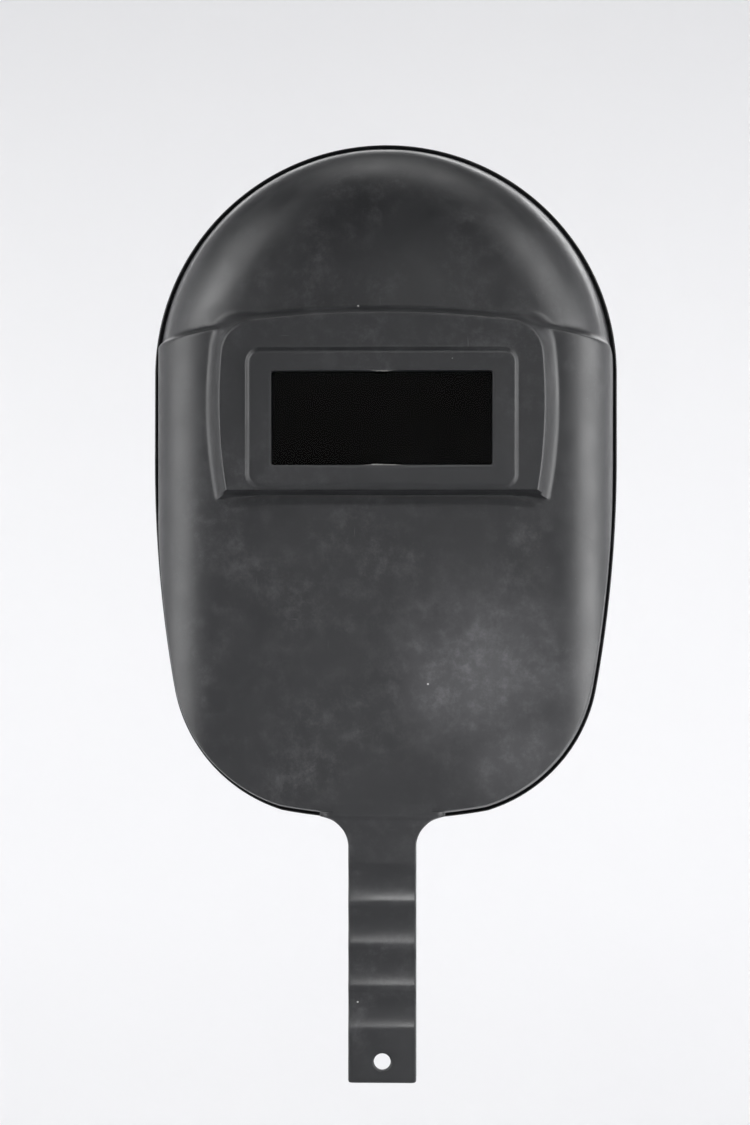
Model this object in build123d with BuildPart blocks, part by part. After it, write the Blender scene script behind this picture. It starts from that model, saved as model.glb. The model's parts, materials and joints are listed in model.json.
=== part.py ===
from build123d import *
from math import atan2, cos, hypot, sin
import os

# Hand-held welding shield: one moulded shell with its own handle, and a stack of 108 x 50 mm
# plates held behind the window by a retainer frame and two turn buttons.
# Frame: millimetres, +Z up, +X to the viewer's right, front of the shield towards -Y,
# wearer's side towards +Y. The origin is the middle of the grip, half way through its thickness.

# Welding glass, a trade standard size, sets the scale of everything else
GLASS_WIDTH = 108.0
GLASS_HEIGHT = 50.0

# Overall outline, seen from the front
HALF_WIDTH = 111.2          # to the outside of the rim bead
DOME_Z = 264.4              # centre of the round top
SIDE_Z = 224.0              # the sides start to draw in below this height
CORNER_TOP = (101.2, 119.0)
CORNER_BOTTOM = (46.5, 55.4)
CHIN_Z = 51.0
OUTLINE_Y = 64.0            # depth at which the outline has its full size
NARROWING = 0.065 / 86      # it shrinks by this share for each mm towards the front
NARROWING_Z = 205.0         # height about which it shrinks

# Depths along Y
BEZEL_Y = -20.0
BOX_FRONT_Y = -18.0
FACE_Y = -7.0               # flat middle of the face and of the handle
HANDLE_BACK_Y = 7.0
RIM_TOP_Y = 78.0            # rim plane at the top of the shield
RIM_CHIN_Y = 52.0           # rim plane at the chin
CUT_BACK_Y = 84.0           # solids run past the rim plane to here before it trims them

OVERRUN = 10.0              # cutting solids run this far past what they cut

WALL = 2.4
BEAD = 1.6                  # rim bead stands this far outside the wall
BEAD_DEPTH = 3.0

# Chains of tangent arcs, each starting square to the middle plane
FLAT_HALF = 30.0
FACE_PLAN = [(76.0, -2.5), (105.2, 30.0)]                   # x and depth: front curve, shoulder
SIDE_END_X = 111.8                                          # sides run straight to here at the back
FOREHEAD_TOP_Y = -8.0
FOREHEAD_PROFILE = [(70.0, 2.5), (103.3, 39.4), (111.0, RIM_TOP_Y)]   # radius and depth

# Brow arch, shared by the wings and the visor box
BROW_TOP_Z = 285.5
BROW_RADIUS = 500.0

# Visor box
BOX_BOTTOM_Z = 206.5
BOX_HALF = 70.0
BOX_BOW = 3.0
BOX_DRAFT = 4.0             # extra half width of the box at the face
BOX_STEP = 0.5              # box stands this far above the brow arch
BOX_CORNER = 6.0
BOX_ROOT_Y = 12.0           # box sides run back to here, inside the wings

# Window
WINDOW_Z = 238.5
WINDOW_WIDTH = 98.4
WINDOW_HEIGHT = 41.8
WINDOW_CORNER = 1.2
BEZEL_WIDTH = 119.0
BEZEL_HEIGHT = 60.6
BEZEL_CORNER = 5.5

# Plate stack, from the inside of the window wall towards the wearer
GASKET_THICKNESS = 1.0
GASKET_SETBACK = 1.0        # its opening is this much larger than the window
COVER_THICKNESS = 2.0
FILTER_THICKNESS = 3.0
INNER_COVER_THICKNESS = 1.5
RETAINER_THICKNESS = 3.0
POCKET_GAP = 0.5            # between the plates and the pocket wall
POCKET_WALL = 2.0
POCKET_COVER = 1.5          # pocket wall overlaps the retainer by this much
PLATE_CHAMFER = 0.3

# Turn buttons and their screws
PIVOT_X = 62.0
BOSS_RADIUS = 4.0
BOSS_RISE = 0.1             # boss ends this far past the retainer, so the button turns freely
BUTTON_REACH = 13.5
BUTTON_TAIL = 4.5
BUTTON_THICKNESS = 2.5
BUTTON_HOLE = 1.6
BUTTON_RIB = 1.6
RIB_GAP = 0.5               # between the rib and the washer, and the rib and the arm's tip
WASHER_RADIUS = 3.6
WASHER_THICKNESS = 0.6
SCREW_RADIUS = 1.5
SCREW_LENGTH = 10.0
HEAD_RADIUS = 3.3
HEAD_HEIGHT = 2.0
RECESS_LENGTH = 3.6
RECESS_WIDTH = 0.8

# Handle
HANDLE_HALF = 15.3
HANDLE_END_Z = -59.5
HANDLE_TOP_Z = 76.0
HANDLE_WALL = 2.4
WEB = 3.0
NECK_RADIUS = 13.0
NECK_Z = 46.5
HANDLE_CORNER = 1.0
RIB_PITCH = 19.0
GROOVE_COUNT = 4
TOP_GROOVE_Z = 30.5
GROOVE_WIDTH = 12.0
GROOVE_DEPTH = 1.3
HANG_HOLE_Z = -50.0
HANG_HOLE_RADIUS = 3.8


def upright(y):
    """Plane across the shield at depth y, facing the front: its x is X and its y is Z."""
    return Plane.XZ.offset(-y)


def narrowing(y):
    """Size of the outline at depth y, as a share of its full size."""
    return 1 - NARROWING * (OUTLINE_Y - y)


def outline(y, inset):
    """Front outline of the shield at depth y, drawn in by inset."""
    size = narrowing(y)
    half = HALF_WIDTH * size - inset

    def place(x, z):
        centre_z = NARROWING_Z + (z - NARROWING_Z) * size
        reach = hypot(x, z - DOME_Z)
        return (x * size - inset * x / reach, centre_z - inset * (z - DOME_Z) / reach)

    with BuildSketch(upright(y)) as sketch:
        with BuildLine():
            dome_z = place(HALF_WIDTH, DOME_Z)[1]
            side_z = NARROWING_Z + (SIDE_Z - NARROWING_Z) * size
            side = Line((half, dome_z), (half, side_z))
            flank = TangentArc(side @ 1, place(*CORNER_TOP), tangent=(0, -1))
            corner = TangentArc(flank @ 1, place(*CORNER_BOTTOM), tangent=flank % 1)
            chin_end = corner @ 1
            ThreePointArc(chin_end, place(0, CHIN_Z), (-chin_end.X, chin_end.Y))
            mirror(about=Plane.YZ)
            ThreePointArc((-half, dome_z), (0, dome_z + half), (half, dome_z))
        make_face()
    return sketch.sketch


def box_outline(y, extra, inset):
    """Front view of the visor box at depth y, with extra half width and drawn in by inset."""
    half = BOX_HALF + extra - inset
    bottom = BOX_BOTTOM_Z + inset
    top = BROW_TOP_Z + BOX_STEP - inset
    radius = BROW_RADIUS + BOX_STEP - inset
    drop = radius - (radius**2 - half**2) ** 0.5
    middle = (bottom + top - drop) / 2
    with BuildSketch(upright(y)) as sketch:
        with BuildLine():
            Line((-half, bottom), (half, bottom))
            ThreePointArc((half, bottom), (half + BOX_BOW, middle), (half, top - drop))
            ThreePointArc((half, top - drop), (0, top), (-half, top - drop))
            ThreePointArc((-half, top - drop), (-half - BOX_BOW, middle), (-half, bottom))
        make_face()
        fillet(sketch.vertices().group_by(Axis.Y)[-1], radius=BOX_CORNER)
    return sketch.sketch


def draw_arcs(start, points, inset):
    """Draw tangent arcs through points given on the outside surface, all drawn in by inset."""
    angle = 0.0
    here = start
    moved = Vector(start[0], start[1] + inset)
    arc = None
    for point in points:
        tangent = (cos(angle), sin(angle))
        angle = 2 * atan2(point[1] - here[1], point[0] - here[0]) - angle
        onward = Vector(point[0] - inset * sin(angle), point[1] + inset * cos(angle))
        arc = TangentArc(moved, onward, tangent=tangent)
        here = point
        moved = onward
    return arc


def forehead(inset):
    """Round top of the shield: its profile turned through half a circle."""
    with BuildPart() as dome:
        with BuildSketch(Plane.XY.offset(DOME_Z)):
            with BuildLine():
                crown = draw_arcs((0, FOREHEAD_TOP_Y), FOREHEAD_PROFILE, inset)
                side = Line(crown @ 1, ((crown @ 1).X, CUT_BACK_Y))
                back = Line(side @ 1, (0, CUT_BACK_Y))
                Line(back @ 1, (0, FOREHEAD_TOP_Y + inset))
            make_face()
        revolve(axis=Axis((0, 0, DOME_Z), (0, -1, 0)), revolution_arc=180)
    return dome.part


def face_block(inset):
    """Wings and chin: one plan section run downwards, trimmed by the outline and the brow arch."""
    with BuildPart() as block:
        with BuildSketch(Plane.XY):
            with BuildLine():
                Line((0, FACE_Y + inset), (FLAT_HALF, FACE_Y + inset))
                shoulder = draw_arcs((FLAT_HALF, FACE_Y), FACE_PLAN, inset)
                side = Line(shoulder @ 1, (SIDE_END_X - inset, CUT_BACK_Y))
                Line(side @ 1, (0, CUT_BACK_Y))
                mirror(about=Plane.YZ)
            make_face()
        extrude(amount=BROW_TOP_Z + OVERRUN)
        add(outline_taper(inset), mode=Mode.INTERSECT)
        with BuildSketch(upright(CUT_BACK_Y)):
            with Locations((0, BROW_TOP_Z - BROW_RADIUS)):
                Circle(BROW_RADIUS - inset)
        extrude(amount=CUT_BACK_Y - BEZEL_Y + OVERRUN, mode=Mode.INTERSECT)
    return block.part


def outline_taper(inset):
    """The outline as a tapering block, from behind the rim to in front of the face."""
    with BuildPart() as taper:
        add(outline(CUT_BACK_Y, BEAD + inset))
        add(outline(BOX_FRONT_Y, BEAD + inset))
        loft(ruled=True)
    return taper.part


def visor_box(inset):
    """Box that stands forward of the face and carries the window."""
    with BuildPart() as box:
        add(box_outline(BOX_ROOT_Y, BOX_DRAFT, inset))
        add(box_outline(BOX_FRONT_Y + inset, 0, inset))
        loft(ruled=True)
    return box.part


def shield_form(inset):
    """The shield as a filled solid with its whole surface drawn in by inset."""
    dome = forehead(inset)
    face = face_block(inset)
    box = visor_box(inset)
    with BuildPart() as form:
        add(dome)
        add(face)
        add(box)
    return form.part


# Depths of the plate stack, worked out from the window wall
gasket_y = BOX_FRONT_Y + WALL
front_cover_y = gasket_y + GASKET_THICKNESS
filter_y = front_cover_y + COVER_THICKNESS
inner_cover_y = filter_y + FILTER_THICKNESS
retainer_y = inner_cover_y + INNER_COVER_THICKNESS
boss_end_y = retainer_y + RETAINER_THICKNESS + BOSS_RISE
washer_y = boss_end_y + BUTTON_THICKNESS
head_y = washer_y + WASHER_THICKNESS
pivots = [(side * PIVOT_X, WINDOW_Z) for side in (-1, 1)]

# Bezel, pocket and bosses all start half way through the window wall
root_y = BOX_FRONT_Y + WALL / 2
pocket_end_y = retainer_y + POCKET_COVER

pocket_width = GLASS_WIDTH + 2 * POCKET_GAP
pocket_height = GLASS_HEIGHT + 2 * POCKET_GAP

# The rim lies in one plane, which leans forward towards the chin
rim_top_z = DOME_Z + HALF_WIDTH
rim_plane = Plane(
    origin=(0, RIM_TOP_Y, rim_top_z),
    x_dir=(1, 0, 0),
    z_dir=(0, rim_top_z - CHIN_Z, RIM_CHIN_Y - RIM_TOP_Y),
)

os.makedirs("parts", exist_ok=True)

outer_form = shield_form(0)
inner_form = shield_form(WALL)
bead_form = shield_form(-BEAD)

# Bead round the rim
with BuildPart() as rim_bead:
    add(bead_form)
    add(inner_form, mode=Mode.SUBTRACT)
    split(bisect_by=rim_plane, keep=Keep.BOTTOM)
    split(bisect_by=rim_plane.offset(-BEAD_DEPTH), keep=Keep.TOP)

# Handle: a channel open at the back, with a web in front and finger grooves across it
with BuildPart() as handle:
    with BuildSketch(upright(HANDLE_BACK_Y)) as stem:
        with BuildLine():
            end = Line((0, HANDLE_END_Z), (HANDLE_HALF, HANDLE_END_Z))
            edge = Line(end @ 1, (HANDLE_HALF, NECK_Z))
            neck = RadiusArc(edge @ 1, (HANDLE_HALF + NECK_RADIUS, NECK_Z + NECK_RADIUS), NECK_RADIUS)
            shoulder = Line(neck @ 1, (HANDLE_HALF + NECK_RADIUS, HANDLE_TOP_Z))
            Line(shoulder @ 1, (0, HANDLE_TOP_Z))
            mirror(about=Plane.YZ)
        make_face()
        fillet(stem.vertices().group_by(Axis.Y)[0], radius=HANDLE_CORNER)
    extrude(amount=HANDLE_BACK_Y - FACE_Y)
    with BuildSketch(upright(HANDLE_BACK_Y)):
        add(stem.sketch)
        offset(amount=-HANDLE_WALL, kind=Kind.INTERSECTION)
    extrude(amount=HANDLE_BACK_Y - FACE_Y - WEB, mode=Mode.SUBTRACT)
    groove_radius = (GROOVE_WIDTH**2 / 4 + GROOVE_DEPTH**2) / (2 * GROOVE_DEPTH)
    groove_y = FACE_Y + GROOVE_DEPTH - groove_radius
    with Locations([(0, groove_y, TOP_GROOVE_Z - RIB_PITCH * i) for i in range(GROOVE_COUNT)]):
        Cylinder(groove_radius, 2 * HANDLE_HALF + OVERRUN, rotation=(0, 90, 0), mode=Mode.SUBTRACT)
    with BuildSketch(upright(HANDLE_BACK_Y)):
        with Locations((0, HANG_HOLE_Z)):
            Circle(HANG_HOLE_RADIUS)
    extrude(amount=HANDLE_BACK_Y - FACE_Y + OVERRUN, mode=Mode.SUBTRACT)

# Shell: face, visor box, window and handle in one moulding
with BuildPart() as shell:
    add(outer_form)
    add(handle.part)
    add(inner_form, mode=Mode.SUBTRACT)
    split(bisect_by=rim_plane, keep=Keep.BOTTOM)
    add(rim_bead.part)
    with BuildSketch(upright(root_y)):
        with Locations((0, WINDOW_Z)):
            RectangleRounded(BEZEL_WIDTH, BEZEL_HEIGHT, BEZEL_CORNER)
    extrude(amount=root_y - BEZEL_Y)
    with BuildSketch(upright(pocket_end_y)):
        with Locations((0, WINDOW_Z)):
            Rectangle(pocket_width + 2 * POCKET_WALL, pocket_height + 2 * POCKET_WALL)
            Rectangle(pocket_width, pocket_height, mode=Mode.SUBTRACT)
    extrude(amount=pocket_end_y - root_y)
    with BuildSketch(upright(boss_end_y)):
        with Locations(pivots):
            Circle(BOSS_RADIUS)
    extrude(amount=boss_end_y - root_y)
    with BuildSketch(upright(boss_end_y)):
        with Locations(pivots):
            Circle(SCREW_RADIUS)
    extrude(amount=SCREW_LENGTH - WASHER_THICKNESS - BUTTON_THICKNESS, mode=Mode.SUBTRACT)
    with BuildSketch(upright(gasket_y)):
        with Locations((0, WINDOW_Z)):
            RectangleRounded(WINDOW_WIDTH, WINDOW_HEIGHT, WINDOW_CORNER)
    extrude(amount=gasket_y - BEZEL_Y + OVERRUN, mode=Mode.SUBTRACT)
shell.part.label = "shell"
export_step(shell.part, "parts/shell.step")

# Clear and dark plates, alike but for their thickness
plates = {
    "front_cover_plate": (front_cover_y, COVER_THICKNESS),
    "filter_plate": (filter_y, FILTER_THICKNESS),
    "inner_cover_plate": (inner_cover_y, INNER_COVER_THICKNESS),
}
for name, (front_y, thickness) in plates.items():
    with BuildPart() as plate:
        with BuildSketch(upright(front_y + thickness)):
            with Locations((0, WINDOW_Z)):
                Rectangle(GLASS_WIDTH, GLASS_HEIGHT)
        extrude(amount=thickness)
        chamfer(plate.edges(), length=PLATE_CHAMFER)
    plate.part.label = name
    export_step(plate.part, f"parts/{name}.step")

with BuildPart() as lens_gasket:
    with BuildSketch(upright(gasket_y + GASKET_THICKNESS)):
        with Locations((0, WINDOW_Z)):
            Rectangle(GLASS_WIDTH, GLASS_HEIGHT)
            Rectangle(WINDOW_WIDTH + GASKET_SETBACK, WINDOW_HEIGHT + GASKET_SETBACK, mode=Mode.SUBTRACT)
    extrude(amount=GASKET_THICKNESS)
lens_gasket.part.label = "lens_gasket"
export_step(lens_gasket.part, "parts/lens_gasket.step")

with BuildPart() as lens_retainer:
    with BuildSketch(upright(retainer_y + RETAINER_THICKNESS)):
        with Locations((0, WINDOW_Z)):
            RectangleRounded(GLASS_WIDTH + POCKET_GAP, GLASS_HEIGHT + POCKET_GAP, WINDOW_CORNER)
            RectangleRounded(WINDOW_WIDTH, WINDOW_HEIGHT, WINDOW_CORNER, mode=Mode.SUBTRACT)
    extrude(amount=RETAINER_THICKNESS)
lens_retainer.part.label = "lens_retainer"
export_step(lens_retainer.part, "parts/lens_retainer.step")

# Turn buttons, shown locked: each arm points inwards over the retainer
for name, (pivot_x, pivot_z) in zip(("turn_button_left", "turn_button_right"), pivots):
    inward = -1 if pivot_x > 0 else 1
    arm_x = pivot_x + inward * (BUTTON_REACH - BUTTON_TAIL) / 2
    rib_x = pivot_x + inward * (BUTTON_REACH + WASHER_RADIUS) / 2
    with BuildPart() as button:
        with BuildSketch(upright(washer_y)):
            with Locations((arm_x, pivot_z)):
                SlotOverall(BUTTON_REACH + BUTTON_TAIL, 2 * BUTTON_TAIL)
        extrude(amount=BUTTON_THICKNESS)
        with BuildSketch(upright(washer_y + BUTTON_RIB)):
            with Locations((rib_x, pivot_z)):
                SlotOverall(BUTTON_REACH - WASHER_RADIUS - 2 * RIB_GAP, BUTTON_RIB)
        extrude(amount=BUTTON_RIB)
        with BuildSketch(upright(washer_y)):
            with Locations((pivot_x, pivot_z)):
                Circle(BUTTON_HOLE)
        extrude(amount=BUTTON_THICKNESS, mode=Mode.SUBTRACT)
    button.part.label = name
    export_step(button.part, f"parts/{name}.step")

with BuildPart() as spring_washers:
    with BuildSketch(upright(head_y)):
        with Locations(pivots):
            Circle(WASHER_RADIUS)
            Circle(BUTTON_HOLE, mode=Mode.SUBTRACT)
    extrude(amount=WASHER_THICKNESS)
spring_washers.part.label = "spring_washers"
export_step(spring_washers.part, "parts/spring_washers.step")

with BuildPart() as pivot_screws:
    with BuildSketch(upright(head_y + HEAD_HEIGHT)):
        with Locations(pivots):
            Circle(HEAD_RADIUS)
    extrude(amount=HEAD_HEIGHT)
    fillet(pivot_screws.edges().group_by(Axis.Y)[-1], radius=HEAD_HEIGHT / 2)
    with BuildSketch(upright(head_y)):
        with Locations(pivots):
            Circle(SCREW_RADIUS)
    extrude(amount=SCREW_LENGTH)
    with BuildSketch(upright(head_y + HEAD_HEIGHT)):
        with Locations(pivots):
            Rectangle(RECESS_LENGTH, RECESS_WIDTH)
            Rectangle(RECESS_WIDTH, RECESS_LENGTH)
    extrude(amount=HEAD_HEIGHT / 2, mode=Mode.SUBTRACT)
pivot_screws.part.label = "pivot_screws"
export_step(pivot_screws.part, "parts/pivot_screws.step")
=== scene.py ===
import json
from math import asin, atan2, cos, hypot, pi, radians, sin, sqrt

import bmesh
import bpy
import numpy as np
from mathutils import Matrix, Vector


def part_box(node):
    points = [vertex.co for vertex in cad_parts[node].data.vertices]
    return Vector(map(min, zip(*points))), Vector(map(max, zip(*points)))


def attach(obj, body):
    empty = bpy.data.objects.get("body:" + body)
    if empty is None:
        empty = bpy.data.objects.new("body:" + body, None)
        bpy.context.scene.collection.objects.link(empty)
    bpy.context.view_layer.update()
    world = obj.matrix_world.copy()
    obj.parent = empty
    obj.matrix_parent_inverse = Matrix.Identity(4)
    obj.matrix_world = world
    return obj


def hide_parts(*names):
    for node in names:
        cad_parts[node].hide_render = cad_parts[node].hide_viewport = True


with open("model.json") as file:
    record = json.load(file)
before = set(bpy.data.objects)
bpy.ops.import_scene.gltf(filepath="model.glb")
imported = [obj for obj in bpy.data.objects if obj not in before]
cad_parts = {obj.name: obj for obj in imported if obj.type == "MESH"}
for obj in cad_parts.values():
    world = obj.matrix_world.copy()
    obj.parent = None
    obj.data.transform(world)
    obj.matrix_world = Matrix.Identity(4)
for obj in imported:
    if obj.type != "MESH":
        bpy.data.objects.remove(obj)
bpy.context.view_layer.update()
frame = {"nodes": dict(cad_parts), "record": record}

MM = 0.001
SLIVER = 2e-6  # metres
SMOOTH_ANGLE = 38
SHELL_SMOOTH_ANGLE = 40

# ---------------------------------------------------------------- places read from the frame, in mm
glass_low, glass_high = [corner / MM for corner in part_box("filter_plate")]
SCREW_HEAD_RADIUS = 3.3
HANDLE_END_Z = (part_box("shell")[0] / MM).z
WINDOW_Z = (glass_low.z + glass_high.z) / 2
PIVOT_X = (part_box("pivot_screws")[1] / MM).x - SCREW_HEAD_RADIUS
RETAINER_BACK_Y = (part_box("lens_retainer")[1] / MM).y
BOSS_END_Y = (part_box("turn_button_left")[0] / MM).y

# ---------------------------------------------------------------- driving sizes of the moulding, in mm
WALL = 2.4
BEAD = 1.6
EDGE_ROUND = 0.45
RUN_OUT = 90.0
HALF_WIDTH = 110.8
DOME_Z = 264.4
SIDE_Z = 224.0
SIDE_END = (111.8, 84.0)
CORNER_TOP = (101.0, 114.0)
CORNER_BOTTOM = (49.0, 55.4)
CHIN_Z = 51.0
OUTLINE_Y = 64.0
NARROWING = 0.065 / 86
NARROWING_Z = 205.0
RIM_TOP_Y = 78.0
RIM_CHIN_Y = 52.0

BEZEL_Y = -20.0
BOX_FRONT_Y = -18.0
FACE_Y = -7.0
FLAT_HALF = 30.0
FACE_PLAN = [(76.0, -2.5), (105.2, 30.0)]
FOREHEAD_TOP_Y = -8.0
FOREHEAD_PROFILE = [(70.0, 2.5), (103.3, 39.4), (111.0, RIM_TOP_Y)]
BROW_TOP_Z = 285.5
BROW_RADIUS = 500.0
BOX_BOTTOM_Z = 206.5
BOX_HALF = 70.0
BOX_BOW = 3.0
BOX_BOW_HALF_HEIGHT = 38
BOX_TOP_ABOVE_BROW = 0.4
BOX_SIDE_SLOPE = 4.5
BOX_FOOT_SLOPE = 8
BOX_TOP_CORNER = 13.0
BOX_FOOT_CORNER = 2.0
BOX_FRONT_CORNER = 4.0
FOOT_TURN_X = 64
FOOT_TURN_WIDTH = 14
FOOT_DROP = 2.4
CROWN_RISE = 1.6
CROWN_HALF = 73
WINDOW_SIZE = (98.4, 41.8)
WINDOW_CORNER = 1.2
BEZEL_SIZE = (119.0, 60.6)
BEZEL_CORNER = 5.5
BEZEL_SLOPE = 1.3
BEZEL_START = 0.5
BEZEL_ROUND = 1.2
BEZEL_SKIRT = 2
BEZEL_SKIRT_SLOPE = 5
POCKET_FRONT_Y = BOX_FRONT_Y + WALL
POCKET_END_Y = RETAINER_BACK_Y - 1.5
POCKET_ROOT_Y = POCKET_FRONT_Y - 1.2
POCKET_GAP = 1.0

# How the surfaces of the face run into one another
WALL_BLEND = 7.0
BROW_SLOPE = 5
BROW_STEP = 0.3
BROW_BLEND = 4.0
DOME_BLEND = 6.0
VISOR_BLEND = 7
VISOR_SIDE_BLEND = 11
VISOR_SIDE_X = 56
VISOR_SIDE_WIDTH = 16
BEZEL_BLEND = 0.8

# The rim bead: share of the way out to the outline, and depth past the rim plane (negative: in front)
BEAD_SECTION = [
    (0.06, -2.6), (0.16, -1.9), (0.3, -1.7), (0.42, -2.0), (0.55, -2.6), (0.72, -2.9), (0.9, -2.75),
    (1.0, -2.2), (1.0, -0.8), (0.9, -0.3), (0.7, 0.0), (0.3, 0.0), (-0.3, 0.0),
]

HANDLE_HALF = 15.3
HANDLE_BACK_Y = 7.0
HANDLE_WALL = 2.4
GRIP_PROUD = 0.02
END_ROUND = 0.7
END_CORNER = 1.4
HANDLE_TOP_Z = 74
CHANNEL_TOP_Z = 70
SINK_Z = 66
SOFTEN_Z = 56
WEB = 3.0
NECK_RADIUS = 13.0
NECK_Z = 46.5
RIB_PITCH = 19.0
TOP_GROOVE_Z = 30.5
GROOVE_COUNT = 4
GROOVE_WIDTH = 16.4
GROOVE_DEPTH = 1.9
HANG_HOLE_Z = -50.0
HANG_HOLE_RADIUS = 3.8

# The face stops short of the rim plane, the hollow runs past it, and the window's edge runs into the wall
RIM_STOP = 3.4
HOLLOW_OVERRUN = 5.0
WINDOW_BACK = 3.0

# How far and how finely a ray is followed, and the half width it stays within
SEARCH_REACH = 300
SEARCH_STEPS = 6000
SEARCH_HALF_WIDTH = 150
SIDE_STEPS = 40


# ---------------------------------------------------------------- smooth joins and curves
def smooth_max(a, b, width):
    """The larger of a and b, rounded where they differ by less than width."""
    share = np.clip(0.5 + 0.5 * (a - b) / width, 0, 1)
    return b * (1 - share) + a * share + width * share * (1 - share)


def smooth_min(a, b, width):
    """The smaller of a and b, rounded where they differ by less than width."""
    return -smooth_max(-np.asarray(a), -np.asarray(b), width)


def tangent_arc(start, heading, end):
    """Radius, centre and final heading of the arc that leaves start along heading and reaches end."""
    chord = hypot(end[0] - start[0], end[1] - start[1])
    final = 2 * atan2(end[1] - start[1], end[0] - start[0]) - heading
    radius = chord / (2 * sin((final - heading) / 2))
    centre = (start[0] - radius * sin(heading), start[1] + radius * cos(heading))
    return radius, centre, final


def arc_chain(start, points, inset, end=None):
    """Points along tangent arcs that start level, drawn in by inset, and then straight on.

    The straight goes towards end where that is given.
    """
    across = [0.0, start[0]]
    depth = [start[1] + inset] * 2
    heading = 0.0
    here = start
    for point in points:
        radius, centre, final = tangent_arc(here, heading, point)
        for angle in np.linspace(heading, final, 160)[1:]:
            across.append(centre[0] + (radius - inset) * sin(angle))
            depth.append(centre[1] - (radius - inset) * cos(angle))
        heading = final
        here = point
    if end is not None:
        heading = atan2(end[1] - here[1], end[0] - here[0])
    across.append(across[-1] + RUN_OUT * cos(heading))
    depth.append(depth[-1] + RUN_OUT * sin(heading))
    return np.array(across), np.array(depth)


def outline_points(inset):
    """Right half of the outline at its full size, from the top down to the chin, drawn in by inset."""
    def arc(start, heading, end):
        radius, centre, final = tangent_arc(start, heading, end)
        angles = np.linspace(heading, final, 120)
        normals = np.stack([np.sin(angles), -np.cos(angles)], 1)
        return np.array(centre) + radius * normals, -normals * np.sign(-radius), final

    top = np.linspace(0, pi / 2, 200)
    normals = np.stack([np.sin(top), np.cos(top)], 1)
    side_heights = np.linspace(DOME_Z, SIDE_Z, SIDE_STEPS)
    side = np.stack([np.full(SIDE_STEPS, HALF_WIDTH), side_heights], 1)
    points = [np.array([0, DOME_Z]) + HALF_WIDTH * normals, side]
    directions = [normals, np.tile([1.0, 0.0], (SIDE_STEPS, 1))]
    heading = -pi / 2
    here = (HALF_WIDTH, SIDE_Z)
    for end in (CORNER_TOP, CORNER_BOTTOM):
        stretch, outward, heading = arc(here, heading, end)
        points.append(stretch)
        directions.append(outward)
        here = end
    rise = CORNER_BOTTOM[1] - CHIN_Z
    bottom_radius = (CORNER_BOTTOM[0] ** 2 + rise**2) / (2 * rise)
    bottom = np.linspace(asin(CORNER_BOTTOM[0] / bottom_radius), 0, 80)
    normals = np.stack([np.sin(bottom), -np.cos(bottom)], 1)
    points.append(np.array([0, CHIN_Z + bottom_radius]) + bottom_radius * normals)
    directions.append(normals)
    return np.vstack(points) - inset * np.vstack(directions)


class MouldedFace:
    """Depth of the moulded face as a function of X and Z, drawn in by inset."""

    def __init__(self, inset):
        self.inset = inset
        self.plan = arc_chain((FLAT_HALF, FACE_Y), FACE_PLAN, inset, SIDE_END)
        self.dome = arc_chain((0.0, FOREHEAD_TOP_Y), FOREHEAD_PROFILE, inset)
        edge = outline_points(BEAD + inset)
        self.edge_angle = np.arctan2(edge[:, 0], edge[:, 1] - NARROWING_Z)
        self.edge_reach = np.hypot(edge[:, 0], edge[:, 1] - NARROWING_Z)

    def wall(self, x, z):
        """Depth at which the tapering outline passes through each point."""
        angle = np.arctan2(np.abs(x), z - NARROWING_Z)
        reach = np.hypot(x, z - NARROWING_Z)
        share = reach / np.interp(angle, self.edge_angle, self.edge_reach)
        return OUTLINE_Y - (1 - share) / NARROWING

    def visor(self, x, z, arch):
        """The visor box: front face, bowed sides, arched top and a steep ledge below."""
        inset = self.inset
        middle = (BOX_BOTTOM_Z + BROW_TOP_Z) / 2
        bow = BOX_BOW * (1 - ((z - middle) / BOX_BOW_HALF_HEIGHT) ** 2)
        side = np.abs(x) - (BOX_HALF + np.clip(bow, -BOX_BOW, BOX_BOW) - inset)
        top = z - (arch + BOX_TOP_ABOVE_BROW)
        foot = np.clip((np.abs(x) - FOOT_TURN_X) / FOOT_TURN_WIDTH, 0, 1)
        bottom = (BOX_BOTTOM_Z + inset) - FOOT_DROP * foot**2 - z
        around = smooth_max(side, top, BOX_TOP_CORNER) * BOX_SIDE_SLOPE
        slope = smooth_max(around, bottom * BOX_FOOT_SLOPE, BOX_FOOT_CORNER)
        front = BOX_FRONT_Y + inset + CROWN_RISE * (x / CROWN_HALF) ** 2
        return front + smooth_max(slope, 0, BOX_FRONT_CORNER)

    def depth(self, x, z):
        """Depth of the face at each point."""
        inset = self.inset
        plan = np.interp(np.abs(x), *self.plan)
        block = smooth_max(plan, self.wall(x, z), WALL_BLEND)
        arch = BROW_TOP_Z - inset - (BROW_RADIUS - np.sqrt(BROW_RADIUS**2 - x**2))
        block = smooth_max(block, plan + BROW_SLOPE * (z - arch - BROW_STEP), BROW_BLEND)
        dome = np.interp(np.hypot(x, z - DOME_Z), *self.dome)
        face = smooth_min(block, dome, DOME_BLEND)
        beside = np.clip((np.abs(x) - VISOR_SIDE_X) / VISOR_SIDE_WIDTH, 0, 1)
        blend = VISOR_BLEND + VISOR_SIDE_BLEND * beside
        face = smooth_min(face, self.visor(x, z, arch), blend)
        if inset == 0:
            ring = rounded_box_distance(x, z - WINDOW_Z, *BEZEL_SIZE, BEZEL_CORNER)
            bevel = smooth_max(BEZEL_SLOPE * ring + BEZEL_START, 0, BEZEL_ROUND)
            bevel = bevel + BEZEL_SKIRT_SLOPE * np.maximum(ring - BEZEL_SKIRT, 0)
            bezel = BEZEL_Y + CROWN_RISE * (x / CROWN_HALF) ** 2 + bevel
            face = smooth_min(face, bezel, BEZEL_BLEND)
        return face


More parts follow.
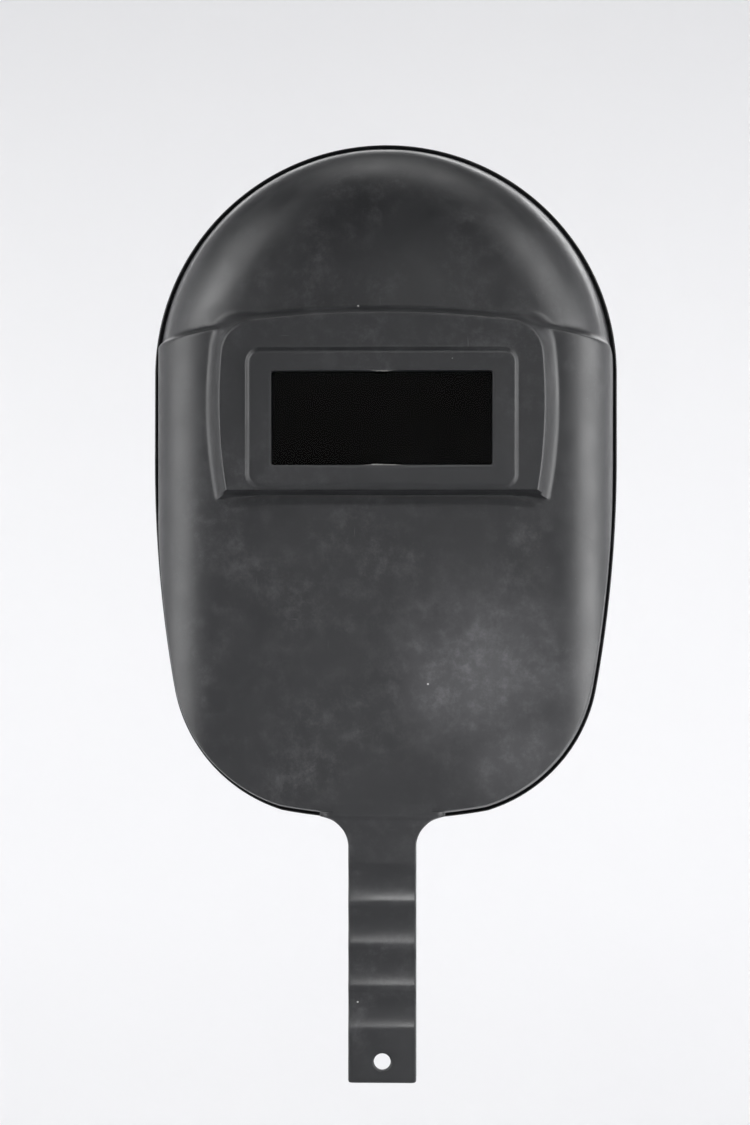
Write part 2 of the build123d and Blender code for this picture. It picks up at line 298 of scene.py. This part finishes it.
def rounded_box_distance(x, z, width, height, corner):
    """Distance outside a rounded rectangle, negative inside it."""
    across = np.abs(x) - width / 2 + corner
    up = np.abs(z) - height / 2 + corner
    outside = np.hypot(np.maximum(across, 0), np.maximum(up, 0))
    return outside + np.minimum(np.maximum(across, up), 0) - corner


def rim_depth(z):
    """Depth of the rim plane, which leans forward towards the chin."""
    top = DOME_Z + HALF_WIDTH
    return RIM_TOP_Y - (RIM_TOP_Y - RIM_CHIN_Y) * (top - z) / (top - CHIN_Z)


# ---------------------------------------------------------------- meshes
def new_piece(name, points, faces, smooth_angle=SMOOTH_ANGLE):
    """A mesh object from points in millimetres."""
    mesh = bpy.data.meshes.new(name)
    mesh.from_pydata((np.asarray(points) * MM).tolist(), [], faces)
    mesh.validate()
    shaped = bmesh.new()
    shaped.from_mesh(mesh)
    bmesh.ops.recalc_face_normals(shaped, faces=shaped.faces)
    shaped.to_mesh(mesh)
    shaped.free()
    mesh.polygons.foreach_set("use_smooth", [True] * len(mesh.polygons))
    mesh.set_sharp_from_angle(angle=radians(smooth_angle))
    piece = bpy.data.objects.new(name, mesh)
    bpy.context.scene.collection.objects.link(piece)
    return piece


def grid_faces(rows, columns, first=0, closed_rows=False):
    """Quads of a grid of rows x columns points, whose columns close into a ring."""
    faces = []
    for i in range(rows if closed_rows else rows - 1):
        here = first + i * columns
        beyond = first + (i + 1) % rows * columns
        for j in range(columns):
            k = (j + 1) % columns
            faces.append((here + j, here + k, beyond + k, beyond + j))
    return faces


def sample_ray(face, angle, start, stop_depth, count, finest):
    """Points along the face from the window outwards, closer together where it bends."""
    reach = np.linspace(start, SEARCH_REACH, SEARCH_STEPS)
    x = reach * sin(angle)
    z = WINDOW_Z + reach * cos(angle)
    keep = np.abs(x) < SEARCH_HALF_WIDTH
    reach, x, z = reach[keep], x[keep], z[keep]
    depth = face.depth(x, z)
    stop = np.argmax(depth > stop_depth(z))
    reach, depth = reach[:stop + 1], depth[:stop + 1]
    step = np.hypot(np.diff(reach), np.diff(depth))
    heading = np.arctan2(np.diff(depth), np.diff(reach))
    turn = np.abs(np.diff(heading, prepend=heading[0]))
    length = np.concatenate([[0], np.cumsum(step + finest * turn)])
    wanted = np.linspace(0, length[-1], count)
    return np.interp(wanted, length, reach), np.interp(wanted, length, depth)


def ray_angles(count):
    """Directions from the window's centre, with more at the window's corners."""
    even = np.linspace(0, 2 * pi, count, endpoint=False)
    corner = atan2(WINDOW_SIZE[0] / 2, WINDOW_SIZE[1] / 2)
    near_corner = np.radians([-1.6, -1.0, -0.5, 0, 0.5, 1.0])
    extra = []
    for base, side in ((0, 1), (pi, -1), (pi, 1), (2 * pi, -1)):
        extra.extend(side * corner + base + near for near in near_corner)
    every = np.sort(np.concatenate([even, np.mod(extra, 2 * pi)]))
    apart = np.diff(every, prepend=every[-1] - 2 * pi) > radians(0.12)
    return every[apart]


def window_reach(angle):
    """Distance from the window's centre to its edge along one direction."""
    low, high = 0.0, 80.0
    for _ in range(40):
        middle = (low + high) / 2
        x, z = middle * sin(angle), middle * cos(angle)
        inside = rounded_box_distance(x, z, *WINDOW_SIZE, WINDOW_CORNER) < 0
        low, high = (middle, high) if inside else (low, middle)
    return low


def face_solids():
    """The face as two closed solids: the outside, with its rim bead and window, and the hollow behind it."""
    outside, inside = MouldedFace(0.0), MouldedFace(WALL)
    angles = ray_angles(430)
    directions = np.stack([np.sin(angles), np.cos(angles)], 1)
    edges = np.array([window_reach(angle) for angle in angles])
    outer_rows = []
    inner_rows = []

    def outer_stop(z):
        return rim_depth(z) - RIM_STOP

    def inner_stop(z):
        return rim_depth(z) + HOLLOW_OVERRUN

    for angle, edge in zip(angles, edges):
        outer_rows.append(sample_ray(outside, angle, edge + EDGE_ROUND, outer_stop, 118, 9.0))
        inner_rows.append(sample_ray(inside, angle, edge, inner_stop, 44, 7.0))
    outer_reach, outer_depth = np.array(outer_rows).transpose(1, 2, 0)
    inner_reach, inner_depth = np.array(inner_rows).transpose(1, 2, 0)

    def loop(reach, depth):
        x = reach * directions[:, 0]
        z = WINDOW_Z + reach * directions[:, 1]
        return np.stack([x, np.broadcast_to(depth, x.shape), z], 1)

    back = POCKET_FRONT_Y + WINDOW_BACK
    outer = [loop(edges, back), loop(edges, outer_depth[0] + 2 * EDGE_ROUND)]
    for turn in np.linspace(0, pi / 2, 5)[:-1]:
        step = EDGE_ROUND * (1 - cos(turn))
        outer.append(loop(edges + step, outer_depth[0] + EDGE_ROUND * (1 - sin(turn))))
    for reach, depth in zip(outer_reach, outer_depth):
        outer.append(loop(reach, depth))
    rim = outer[-1]
    edge = rim_outline(rim)
    for share, step in BEAD_SECTION:
        x, z = ((1 - share) * rim + share * edge)[:, (0, 2)].T
        outer.append(np.stack([x, rim_depth(z) + step, z], 1))
    middle = rim_depth(WINDOW_Z)
    solid = closed_loops("shield_shell", outer, (0, back, WINDOW_Z), (0, middle, WINDOW_Z))
    inner = [loop(edges * share, POCKET_FRONT_Y) for share in (0.3, 0.7)]
    for reach, depth in zip(inner_reach, inner_depth):
        inner.append(loop(reach, depth))
    far = middle + HOLLOW_OVERRUN
    hollow = closed_loops("hollow", inner, (0, POCKET_FRONT_Y, WINDOW_Z), (0, far, WINDOW_Z))
    return solid, hollow


def rim_outline(points):
    """Places on the shield's outline straight outward from the window's centre through points."""
    right = outline_points(0)
    depth = rim_depth(right[:, 1])
    size = 1 - NARROWING * (OUTLINE_Y - depth)
    x = right[:, 0] * size
    z = NARROWING_Z + (right[:, 1] - NARROWING_Z) * size - WINDOW_Z
    reach = np.interp(
        np.arctan2(np.abs(points[:, 0]), points[:, 2] - WINDOW_Z),
        np.arctan2(x, z), np.hypot(x, z),
    )
    direction = points[:, (0, 2)] - (0, WINDOW_Z)
    direction /= np.hypot(direction[:, 0], direction[:, 1])[:, None]
    edge = direction * reach[:, None] + (0, WINDOW_Z)
    return np.stack([edge[:, 0], points[:, 1], edge[:, 1]], 1)


def closed_loops(name, loops, first, last):
    """A closed mesh through loops of equal length, with a fan to a point at each end."""
    count = len(loops[0])
    points = np.vstack([[first], *loops, [last]])
    faces = grid_faces(len(loops), count, first=1)
    end = len(points) - 1
    for j in range(count):
        k = (j + 1) % count
        faces.append((0, 1 + k, 1 + j))
        faces.append((end, end - count + j, end - count + k))
    return new_piece(name, points, faces)


def combine(piece, other, operation):
    """Join other to piece or cut it away, and delete it."""
    modifier = piece.modifiers.new(operation, "BOOLEAN")
    modifier.operation = operation
    modifier.solver = "MANIFOLD"
    modifier.object = other
    bpy.context.view_layer.update()
    shaped = bpy.data.meshes.new_from_object(piece.evaluated_get(bpy.context.evaluated_depsgraph_get()))
    piece.modifiers.clear()
    piece.data = shaped
    bpy.data.objects.remove(other)


def drop_slivers(piece):
    """Take out the faces of no area that the cuts leave."""
    shaped = bmesh.new()
    shaped.from_mesh(piece.data)
    bmesh.ops.dissolve_degenerate(shaped, dist=SLIVER, edges=shaped.edges)
    shaped.to_mesh(piece.data)
    shaped.free()


def rounded_ring(half, front, back, front_radius, back_radius):
    """Section across the handle: a rectangle from front to back with rounded corners."""
    corners = [
        (half, front, front_radius, -pi / 2), (half, back, back_radius, 0),
        (-half, back, back_radius, pi / 2), (-half, front, front_radius, pi),
    ]
    points = []
    for x, y, radius, start in corners:
        centre_x = x - radius * np.sign(x)
        centre_y = y + radius if y == front else y - radius
        for turn in np.linspace(start, start + pi / 2, 7):
            points.append((centre_x + radius * cos(turn), centre_y + radius * sin(turn)))
    return points


def neck_half(z, inset):
    """Half width of the handle at height z, drawn in by inset; it flares to meet the chin."""
    if z < NECK_Z:
        return HANDLE_HALF - inset
    radius = NECK_RADIUS + inset
    return HANDLE_HALF + NECK_RADIUS - sqrt(max(radius**2 - (z - NECK_Z) ** 2, 0))


def grip_front(z):
    """Depth of the handle's front, with its finger grooves."""
    y = FACE_Y - GRIP_PROUD
    for i in range(GROOVE_COUNT):
        away = (z - TOP_GROOVE_Z + RIB_PITCH * i) / (GROOVE_WIDTH / 2)
        groove = FACE_Y + GROOVE_DEPTH * (1 - away**2)
        y = float(smooth_max(y, max(groove, FACE_Y - 3), 0.35))
    return y


def handle_solid():
    """The handle, with a channel up its back, finger grooves and a hole to hang it by."""
    loops = []
    for turn in np.linspace(0, pi / 2, 6)[:-1]:
        loops.append((HANDLE_END_Z + END_ROUND * (1 - cos(turn)), END_ROUND * (1 - sin(turn))))
    grip_heights = np.arange(HANDLE_END_Z + END_ROUND, NECK_Z, 0.7)
    for z in np.concatenate([grip_heights, np.linspace(NECK_Z, HANDLE_TOP_Z, 40)]):
        loops.append((z, 0))
    rings = []
    for z, shrink in loops:
        above = max(HANDLE_END_Z + END_CORNER - z, 0)
        corner = END_CORNER - sqrt(END_CORNER**2 - above**2)
        sink = 0.12 * max(z - SINK_Z, 0)
        soften = 1 + np.clip((z - SOFTEN_Z) * 1.1, 0, 5.5)
        half = neck_half(z, 0) - shrink - corner * 0.6
        section = rounded_ring(half, grip_front(z) + shrink + sink, HANDLE_BACK_Y - shrink, soften, 0.6)
        rings.append([(x, y, z) for x, y in section])
    handle = closed_loops("handle", rings, (0, 0, HANDLE_END_Z), (0, 0, HANDLE_TOP_Z))
    rings = []
    channel_low = HANDLE_END_Z + WALL
    grip_heights = np.linspace(channel_low + 1, NECK_Z, 12)
    neck_heights = np.linspace(NECK_Z + 1, CHANNEL_TOP_Z, 30)
    for z in np.concatenate([[channel_low], grip_heights, neck_heights]):
        section = rounded_ring(neck_half(z, HANDLE_WALL), FACE_Y + WEB, HANDLE_BACK_Y + 2, 1.2, 0.1)
        rings.append([(x, y, z) for x, y in section])
    channel = closed_loops("channel", rings, (0, 2, channel_low), (0, 2, CHANNEL_TOP_Z))
    combine(handle, channel, "DIFFERENCE")
    radius = HANG_HOLE_RADIUS
    web_back = FACE_Y + WEB
    profile = [
        (FACE_Y - 1, radius + 1.6), (FACE_Y + 0.0, radius + 0.6), (FACE_Y + 0.25, radius + 0.2),
        (FACE_Y + 0.6, radius), (web_back - 0.5, radius), (web_back - 0.15, radius + 0.15),
        (web_back + 1, radius + 1.2),
    ]
    drill = turned("drill", profile, (0, HANG_HOLE_Z))
    combine(handle, drill, "DIFFERENCE")
    return handle


def turned(name, profile, centre, sides=48):
    """A solid of revolution about a line along Y: profile is a list of depth and radius."""
    turns = np.linspace(0, 2 * pi, sides, endpoint=False)
    loops = []
    for y, radius in profile:
        x = centre[0] + radius * np.cos(turns)
        z = centre[1] + radius * np.sin(turns)
        loops.append(np.stack([x, np.full(sides, y), z], 1))
    first = (centre[0], profile[0][0], centre[1])
    last = (centre[0], profile[-1][0], centre[1])
    return closed_loops(name, loops, first, last)


def frame_loop(width, height, corner, y):
    """A rounded rectangle round the window at depth y."""
    points = []
    for side_x, side_z, start in ((1, 1, 0), (-1, 1, pi / 2), (-1, -1, pi), (1, -1, 3 * pi / 2)):
        for turn in np.linspace(start, start + pi / 2, 6):
            x = side_x * (width / 2 - corner) + corner * cos(turn)
            z = side_z * (height / 2 - corner) + corner * sin(turn)
            points.append((x, y, WINDOW_Z + z))
    return np.array(points)


def pocket_ring():
    """The upstand on the inside of the window wall that the plates sit in."""
    width = glass_high.x - glass_low.x + POCKET_GAP
    height = glass_high.z - glass_low.z + POCKET_GAP
    root, end = POCKET_ROOT_Y, POCKET_END_Y
    section = [
        (4.6, root), (4.0, POCKET_FRONT_Y + 0.4), (4.0, end - 0.5), (3.7, end - 0.12), (3.2, end),
        (0.5, end), (0.12, end - 0.15), (0.0, end - 0.5), (0.0, root),
    ]
    loops = [frame_loop(width + grow, height + grow, 0.6 + grow / 2, y) for grow, y in section]
    return new_piece("pocket", np.vstack(loops), grid_faces(len(loops), len(loops[0]), closed_rows=True))


def screw_boss(x):
    """A round boss with a fillet at its foot and a hole for its screw."""
    foot, end = POCKET_FRONT_Y, BOSS_END_Y
    profile = [
        (POCKET_ROOT_Y, 5.2), (foot, 5.1), (foot + 0.4, 4.5), (foot + 1.2, 4.05),
        (end - 0.4, 4.0), (end - 0.1, 3.88), (end, 3.6),
    ]
    boss = turned("boss", profile, (x, WINDOW_Z))
    hole = turned("hole", [(foot + 2.5, 1.5), (end + 1, 1.5)], (x, WINDOW_Z), 24)
    combine(boss, hole, "DIFFERENCE")
    return boss


shell_piece, hollow = face_solids()
combine(shell_piece, handle_solid(), "UNION")
combine(shell_piece, hollow, "DIFFERENCE")
combine(shell_piece, pocket_ring(), "UNION")
for side in (-1, 1):
    combine(shell_piece, screw_boss(side * PIVOT_X), "UNION")
drop_slivers(shell_piece)
shell_piece.data.polygons.foreach_set("use_smooth", [True] * len(shell_piece.data.polygons))
shell_piece.data.set_sharp_from_angle(angle=radians(SHELL_SMOOTH_ANGLE))


def gate_mark(name, z, width, drop, seed):
    """A torn line of flash left on the edge of the window where the moulding was cut from its gate."""
    rng = np.random.default_rng(seed)
    count = 34
    along = np.linspace(-width / 2, width / 2, count)
    taper = np.clip(1 - (2 * along / width) ** 2, 0, 1)
    ragged = np.clip(rng.normal(0.35, 0.35, count), 0.05, 1.0)
    reach = drop * (0.15 + 0.85 * taper) * ragged
    lean = BEZEL_Y + 0.25 + rng.uniform(-0.12, 0.15, count)
    loops = []
    for turn in np.linspace(0, 2 * pi, 7, endpoint=False):
        thick = 0.16 * (0.3 + 0.7 * taper) * rng.uniform(0.6, 1.2, count)
        up = reach * (0.5 + 0.5 * cos(turn)) - 0.25 * (0.5 - 0.5 * cos(turn)) * np.sign(drop)
        loops.append(np.stack([along, lean + thick * sin(turn), z + up], 1))
    points = np.array(loops).transpose(1, 0, 2)
    faces = grid_faces(count, 7)
    faces.append(tuple(range(7)))
    faces.append(tuple(range(7 * count - 7, 7 * count))[::-1])
    return new_piece(name, points.reshape(-1, 3), faces, smooth_angle=30)


window_top = WINDOW_Z + WINDOW_SIZE[1] / 2
window_bottom = WINDOW_Z - WINDOW_SIZE[1] / 2
gate_marks = [
    gate_mark("gate_mark_top", window_top, 9.0, -0.8, 3),
    gate_mark("gate_mark_bottom", window_bottom, 16.0, 0.8, 8),
]

# ---------------------------------------------------------------- materials
def new_material(name, color, roughness, **sockets):
    """A Principled material, with its node tree and shader."""
    material = bpy.data.materials.new(name)
    material.use_nodes = True
    tree = material.node_tree
    shader = tree.nodes["Principled BSDF"]
    shader.inputs["Base Color"].default_value = (*color, 1)
    shader.inputs["Roughness"].default_value = roughness
    for socket, value in sockets.items():
        shader.inputs[socket.replace("_", " ")].default_value = value
    return material, tree, shader


def place(tree):
    """The object's own coordinates, in metres."""
    return tree.nodes.new("ShaderNodeTexCoord").outputs["Object"]


def stretched(tree, stretch, turn=(0, 0, 0)):
    """The object's coordinates, scaled apart along each axis."""
    mapping = tree.nodes.new("ShaderNodeMapping")
    mapping.inputs["Scale"].default_value = stretch
    mapping.inputs["Rotation"].default_value = turn
    tree.links.new(place(tree), mapping.inputs["Vector"])
    return mapping.outputs["Vector"]


def noise(tree, vector, scale, detail=3, roughness=0.5):
    """A noise pattern from 0 to 1."""
    pattern = tree.nodes.new("ShaderNodeTexNoise")
    pattern.inputs["Scale"].default_value = scale
    pattern.inputs["Detail"].default_value = detail
    pattern.inputs["Roughness"].default_value = roughness
    tree.links.new(vector, pattern.inputs["Vector"])
    return pattern.outputs["Fac"]


def remap(tree, value, low, high, to_low=0.0, to_high=1.0):
    """The part of a pattern between low and high, spread over a new range."""
    ramp = tree.nodes.new("ShaderNodeMapRange")
    ramp.interpolation_type = "SMOOTHSTEP"
    for socket, number in (("From Min", low), ("From Max", high), ("To Min", to_low), ("To Max", to_high)):
        ramp.inputs[socket].default_value = number
    tree.links.new(value, ramp.inputs["Value"])
    return ramp.outputs["Result"]


def calculate(tree, operation, a, b):
    """Two patterns or numbers put together."""
    step = tree.nodes.new("ShaderNodeMath")
    step.operation = operation
    for socket, value in zip(step.inputs, (a, b)):
        if isinstance(value, (int, float)):
            socket.default_value = value
        else:
            tree.links.new(value, socket)
    return step.outputs[0]


def blend_colors(tree, mask, base, over):
    """Base where the mask is 0 and over where it is 1."""
    mix = tree.nodes.new("ShaderNodeMix")
    mix.data_type = "RGBA"
    tree.links.new(mask, mix.inputs[0])
    for socket, color in ((mix.inputs[6], base), (mix.inputs[7], over)):
        if isinstance(color, tuple):
            socket.default_value = (*color, 1)
        else:
            tree.links.new(color, socket)
    return mix.outputs[2]


def bump(tree, shader, height, distance, strength=1.0):
    """Raise the surface by a pattern, up to distance in metres, on top of any earlier bump."""
    raised = tree.nodes.new("ShaderNodeBump")
    raised.inputs["Strength"].default_value = strength
    raised.inputs["Distance"].default_value = distance
    tree.links.new(height, raised.inputs["Height"])
    earlier = shader.inputs["Normal"].links
    if earlier:
        tree.links.new(earlier[0].from_socket, raised.inputs["Normal"])
    tree.links.new(raised.outputs["Normal"], shader.inputs["Normal"])


def specks(tree, scale, size, share):
    """Small sparse dots: only a share of the cells has one."""
    cells = tree.nodes.new("ShaderNodeTexVoronoi")
    cells.inputs["Scale"].default_value = scale
    tree.links.new(place(tree), cells.inputs["Vector"])
    dot = remap(tree, cells.outputs["Distance"], size, size * 0.5)
    chosen = tree.nodes.new("ShaderNodeSeparateColor")
    tree.links.new(cells.outputs["Color"], chosen.inputs["Color"])
    return calculate(tree, "MULTIPLY", dot, calculate(tree, "GREATER_THAN", chosen.outputs[0], 1 - share))


def scratches(tree, stretch, turn, low, high):
    """Thin broken lines along one direction."""
    lines = noise(tree, stretched(tree, stretch, turn), 60, 2, 0.6)
    broken = noise(tree, stretched(tree, (1, 1, 1)), 42, 2)
    thin = remap(tree, lines, low, high)
    return calculate(tree, "MULTIPLY", thin, remap(tree, broken, 0.52, 0.66))


def worn_and_highlit_area(tree, centre, radius):
    """A soft ragged patch round a place worn in use; round the chin it is also a painted highlight."""
    offset = tree.nodes.new("ShaderNodeVectorMath")
    offset.operation = "DISTANCE"
    tree.links.new(place(tree), offset.inputs[0])
    offset.inputs[1].default_value = centre
    ragged = calculate(tree, "MULTIPLY", noise(tree, place(tree), 38, 4, 0.6), radius * 0.9)
    return remap(tree, calculate(tree, "ADD", offset.outputs["Value"], ragged), radius * 1.35, radius * 0.45)


# Places worn in use, the chin one also a painted highlight: centre and radius, in metres
CHIN_RUB_AND_HIGHLIGHT = ((0.045, -0.006, 0.128), 0.062)
CORNER_RUB = ((0.062, 0.0, 0.088), 0.045)


def moulded_plastic(name, color, scuffed_and_lit, roughness, wear_and_highlight=1.0):
    """Satin moulded polypropylene: a fine skin, clouding, scuffs, hairline scratches, dust, and a painted
    highlight round the chin.
    """
    material, tree, shader = new_material(name, color, roughness)
    shader.inputs["Specular IOR Level"].default_value = 0.42
    cloud = remap(tree, noise(tree, place(tree), 20, 5, 0.6), 0.36, 0.70)
    patches = remap(tree, noise(tree, place(tree), 120, 7, 0.75), 0.42, 0.80)
    # Round the chin the worn patch is also a painted highlight, lighter towards its centre.
    chin_rub_and_highlight = worn_and_highlit_area(tree, *CHIN_RUB_AND_HIGHLIGHT)
    low_rub = worn_and_highlit_area(tree, *CORNER_RUB)
    area = calculate(tree, "MAXIMUM", calculate(tree, "MULTIPLY", chin_rub_and_highlight, 1.5), low_rub)
    haze_and_highlight = calculate(tree, "MULTIPLY", calculate(tree, "MAXIMUM", cloud, area), patches)
    haze_and_highlight = calculate(tree, "MULTIPLY", haze_and_highlight, 0.42 * wear_and_highlight)
    # Worn patches get paler still: real rub, and round the chin a painted highlight.
    haze_and_highlight = calculate(tree, "ADD", haze_and_highlight, calculate(tree, "MULTIPLY", area, 0.26 * wear_and_highlight))
    fine = scratches(tree, (9, 9, 0.6), (0.1, 0.5, 0), 0.70, 0.78)
    crossing = scratches(tree, (0.7, 9, 9), (0, -0.35, 0.1), 0.71, 0.79)
    lines = calculate(tree, "MULTIPLY", calculate(tree, "MAXIMUM", fine, crossing), 0.42 * wear_and_highlight)
    dust = calculate(tree, "MULTIPLY", specks(tree, 95, 0.055, 0.06), 0.8 * wear_and_highlight)
    marks_and_highlight = calculate(tree, "MAXIMUM", haze_and_highlight, lines)
    tone = blend_colors(tree, marks_and_highlight, color, scuffed_and_lit)
    tone = blend_colors(tree, dust, tone, (0.42, 0.42, 0.41))
    tree.links.new(tone, shader.inputs["Base Color"])
    skin = noise(tree, place(tree), 900, 3, 0.6)
    gloss = noise(tree, place(tree), 60, 4, 0.6)
    gloss = remap(tree, gloss, 0.3, 0.7, roughness - 0.05, roughness + 0.05)
    gloss = calculate(tree, "ADD", gloss, calculate(tree, "MULTIPLY", marks_and_highlight, 0.15))
    tree.links.new(gloss, shader.inputs["Roughness"])
    bump(tree, shader, skin, 0.00006, 0.35)
    bump(tree, shader, noise(tree, place(tree), 16, 2), 0.0012, 0.12)
    return material


def clear_plate(name):
    """Clear cover plate with faint smears. A low index keeps its reflections faint."""
    color = (0.93, 0.96, 0.95)
    material, tree, shader = new_material(name, color, 0.04, Transmission_Weight=1.0, IOR=1.18)
    smear = noise(tree, stretched(tree, (1, 1, 2.2)), 45, 4, 0.6)
    smear = remap(tree, smear, 0.45, 0.8, 0.02, 0.1)
    tree.links.new(smear, shader.inputs["Roughness"])
    return material


def dark_glass(name):
    """Very dark green welding glass, with faint wipe marks."""
    color = (0.0035, 0.0045, 0.0042)
    material, tree, shader = new_material(name, color, 0.06, Specular_IOR_Level=0.12)
    smear = noise(tree, stretched(tree, (1, 1, 2.5), (0, 0.5, 0)), 38, 4, 0.6)
    smear = remap(tree, smear, 0.4, 0.8, 0.04, 0.16)
    tree.links.new(smear, shader.inputs["Roughness"])
    cloud = noise(tree, place(tree), 30, 2)
    tint = blend_colors(tree, cloud, (0.0028, 0.0042, 0.0036), (0.0042, 0.0046, 0.0048))
    tree.links.new(tint, shader.inputs["Base Color"])
    return material


def rubber(name):
    """Matt black rubber."""
    material, tree, shader = new_material(name, (0.016, 0.016, 0.016), 0.85)
    bloom = noise(tree, place(tree), 140, 4)
    tone = blend_colors(tree, bloom, (0.011, 0.011, 0.011), (0.026, 0.026, 0.025))
    tree.links.new(tone, shader.inputs["Base Color"])
    bump(tree, shader, noise(tree, place(tree), 1600, 2), 0.00008, 0.5)
    return material


def plated_steel(name, color, roughness):
    """Steel with a plated skin, abraded in fine lines."""
    material, tree, shader = new_material(name, color, roughness, Metallic=1.0)
    dull = remap(tree, noise(tree, place(tree), 420, 4, 0.65), 0.4, 0.75)
    low = tuple(0.72 * c for c in color)
    tree.links.new(blend_colors(tree, dull, color, low), shader.inputs["Base Color"])
    gloss = remap(tree, noise(tree, place(tree), 260, 3), 0.3, 0.7, roughness - 0.06, roughness + 0.14)
    tree.links.new(gloss, shader.inputs["Roughness"])
    bump(tree, shader, noise(tree, stretched(tree, (1, 1, 14)), 500, 2), 0.00004, 0.4)
    return material


SHELL_BLACK = (0.0115, 0.0120, 0.0132)
# Scuff colour of the shell, which also paints the highlight round the chin
SHELL_SCUFF_AND_HIGHLIGHT = (0.10, 0.10, 0.105)
RETAINER_GREY = (0.05, 0.05, 0.055)
RETAINER_SCUFFED = (0.16, 0.16, 0.165)
BUTTON_BLACK = (0.022, 0.022, 0.024)
BUTTON_SCUFFED = (0.10, 0.10, 0.10)
looks = {
    "shell_plastic": moulded_plastic("shell_plastic_look", SHELL_BLACK, SHELL_SCUFF_AND_HIGHLIGHT, 0.42),
    "clear_cover": clear_plate("clear_cover_look"),
    "dark_filter": dark_glass("dark_filter_look"),
    "gasket_rubber": rubber("gasket_rubber_look"),
    "retainer_plastic": moulded_plastic(
        "retainer_plastic_look", RETAINER_GREY, RETAINER_SCUFFED, 0.46
    ),
    "button_plastic": moulded_plastic(
        "button_plastic_look", BUTTON_BLACK, BUTTON_SCUFFED, 0.34, 0.6
    ),
    "washer_steel": plated_steel("washer_steel_look", (0.56, 0.56, 0.54), 0.34),
    "screw_steel": plated_steel("screw_steel_look", (0.66, 0.66, 0.63), 0.26),
}
flash, flash_tree, flash_shader = new_material("torn_plastic_look", (0.22, 0.22, 0.22), 0.6)
torn = noise(flash_tree, place(flash_tree), 1500, 3)
torn = blend_colors(flash_tree, torn, (0.02, 0.02, 0.02), (0.34, 0.34, 0.33))
flash_tree.links.new(torn, flash_shader.inputs["Base Color"])

for subpart in frame["record"]["subparts"]:
    node = frame["nodes"][subpart["node"]]
    node.data.materials.clear()
    node.data.materials.append(looks[subpart["material_slot"]])

shell_piece.data.materials.clear()
shell_piece.data.materials.append(looks["shell_plastic"])
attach(shell_piece, "shield")
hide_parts("shell")
for piece in gate_marks:
    piece.data.materials.append(flash)
    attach(piece, "shield")

# ---------------------------------------------------------------- camera, stage and light
VIEW_DISTANCE = 1.0
VIEW_AZIMUTH = radians(1.4)
VIEW_X = -0.0029
VIEW_Z = 0.1743
camera_data = bpy.data.cameras.new("camera")
camera_data.lens = 72.2
camera_data.sensor_width = 36
camera_data.sensor_fit = "AUTO"
camera = bpy.data.objects.new("camera", camera_data)
target = Vector((VIEW_X, BEZEL_Y * MM, VIEW_Z))
camera.location = target + VIEW_DISTANCE * Vector((sin(VIEW_AZIMUTH), -cos(VIEW_AZIMUTH), 0))
camera.rotation_euler = (pi / 2, 0, VIEW_AZIMUTH)
bpy.context.scene.collection.objects.link(camera)
bpy.context.scene.camera = camera

FLOOR_Z = -1.0
BOWL_RADIUS = 2.4
BOWL_HEIGHT = 2.6
BOWL_SIDES = 96
FLOOR_RINGS = 18


def studio_bowl():
    """A plain pale floor that curves up into a wall all round."""
    profile = [(0.02 + 0.1 * i, FLOOR_Z) for i in range(FLOOR_RINGS)]
    flat_reach = profile[-1][0]
    bend = BOWL_RADIUS - flat_reach
    for turn in np.linspace(0, pi / 2, 16)[1:]:
        profile.append((flat_reach + bend * sin(turn), FLOOR_Z + bend * (1 - cos(turn))))
    profile.append((BOWL_RADIUS, FLOOR_Z + BOWL_HEIGHT))
    turns = np.linspace(0, 2 * pi, BOWL_SIDES, endpoint=False)
    loops = []
    for r, z in profile:
        height = np.full(BOWL_SIDES, z)
        loops.append(np.stack([r * np.cos(turns), r * np.sin(turns), height], 1) / MM)
    faces = grid_faces(len(loops), BOWL_SIDES)
    bowl = new_piece("studio_bowl", np.vstack(loops), faces, smooth_angle=180)
    return bowl


def soft_light(name, position, size, power, target=(0, 0.03, 0.2), spread=180):
    """A soft light, size in metres, that faces the shield or another target.

    A spread under 180 degrees narrows its beam.
    """
    lamp = bpy.data.lights.new(name, "AREA")
    lamp.shape = "RECTANGLE"
    lamp.size = size[0]
    lamp.size_y = size[1]
    lamp.energy = power
    lamp.spread = radians(spread)
    light = bpy.data.objects.new(name, lamp)
    light.location = position
    light.rotation_euler = (Vector(position) - Vector(target)).to_track_quat("Z", "Y").to_euler()
    light.visible_camera = False
    bpy.context.scene.collection.objects.link(light)


bowl = studio_bowl()
pale, pale_tree, pale_shader = new_material("studio_paper", (0.86, 0.86, 0.87), 0.9)
pale_tone = noise(pale_tree, place(pale_tree), 1.2, 2)
pale_tone = blend_colors(pale_tree, pale_tone, (0.84, 0.84, 0.855), (0.88, 0.88, 0.885))
pale_tree.links.new(pale_tone, pale_shader.inputs["Base Color"])
bowl.data.materials.append(pale)

soft_light("key_right", (1.3, -0.02, 0.1), (0.8, 1.3), 22)
soft_light("fill_left", (-1.3, -0.16, 0.3), (0.9, 1.3), 15)
soft_light("front_low", (0.6, -1.5, -0.35), (0.9, 0.4), 1.8)
soft_light("grip_from_above", (0.15, -1.0, 0.8), (0.5, 0.12), 0.4, (0, 0, 0), 26)
for side in (-1, 1):
    soft_light(f"shoulder_{side}", (side * 1.0, -0.25, 1.0), (0.6, 0.6), 6)
soft_light("behind", (0.1, 1.5, 0.8), (1.2, 0.6), 6)
soft_light("top", (0.1, 0.3, 1.6), (1.0, 0.5), 4)
for side, power in ((-1, 3.2), (1, 6)):
    soft_light(f"wall_{side}", (side * 1.2, 0.9, 0.2), (0.6, 1.6), power, (0, 2.2, 0.1))

world = bpy.data.worlds.new("studio")
bpy.context.scene.world = world
world.use_nodes = True
world.node_tree.nodes["Background"].inputs["Color"].default_value = (0.97, 0.98, 1, 1)
world.node_tree.nodes["Background"].inputs["Strength"].default_value = 0.17
bpy.context.scene.view_settings.view_transform = "Standard"
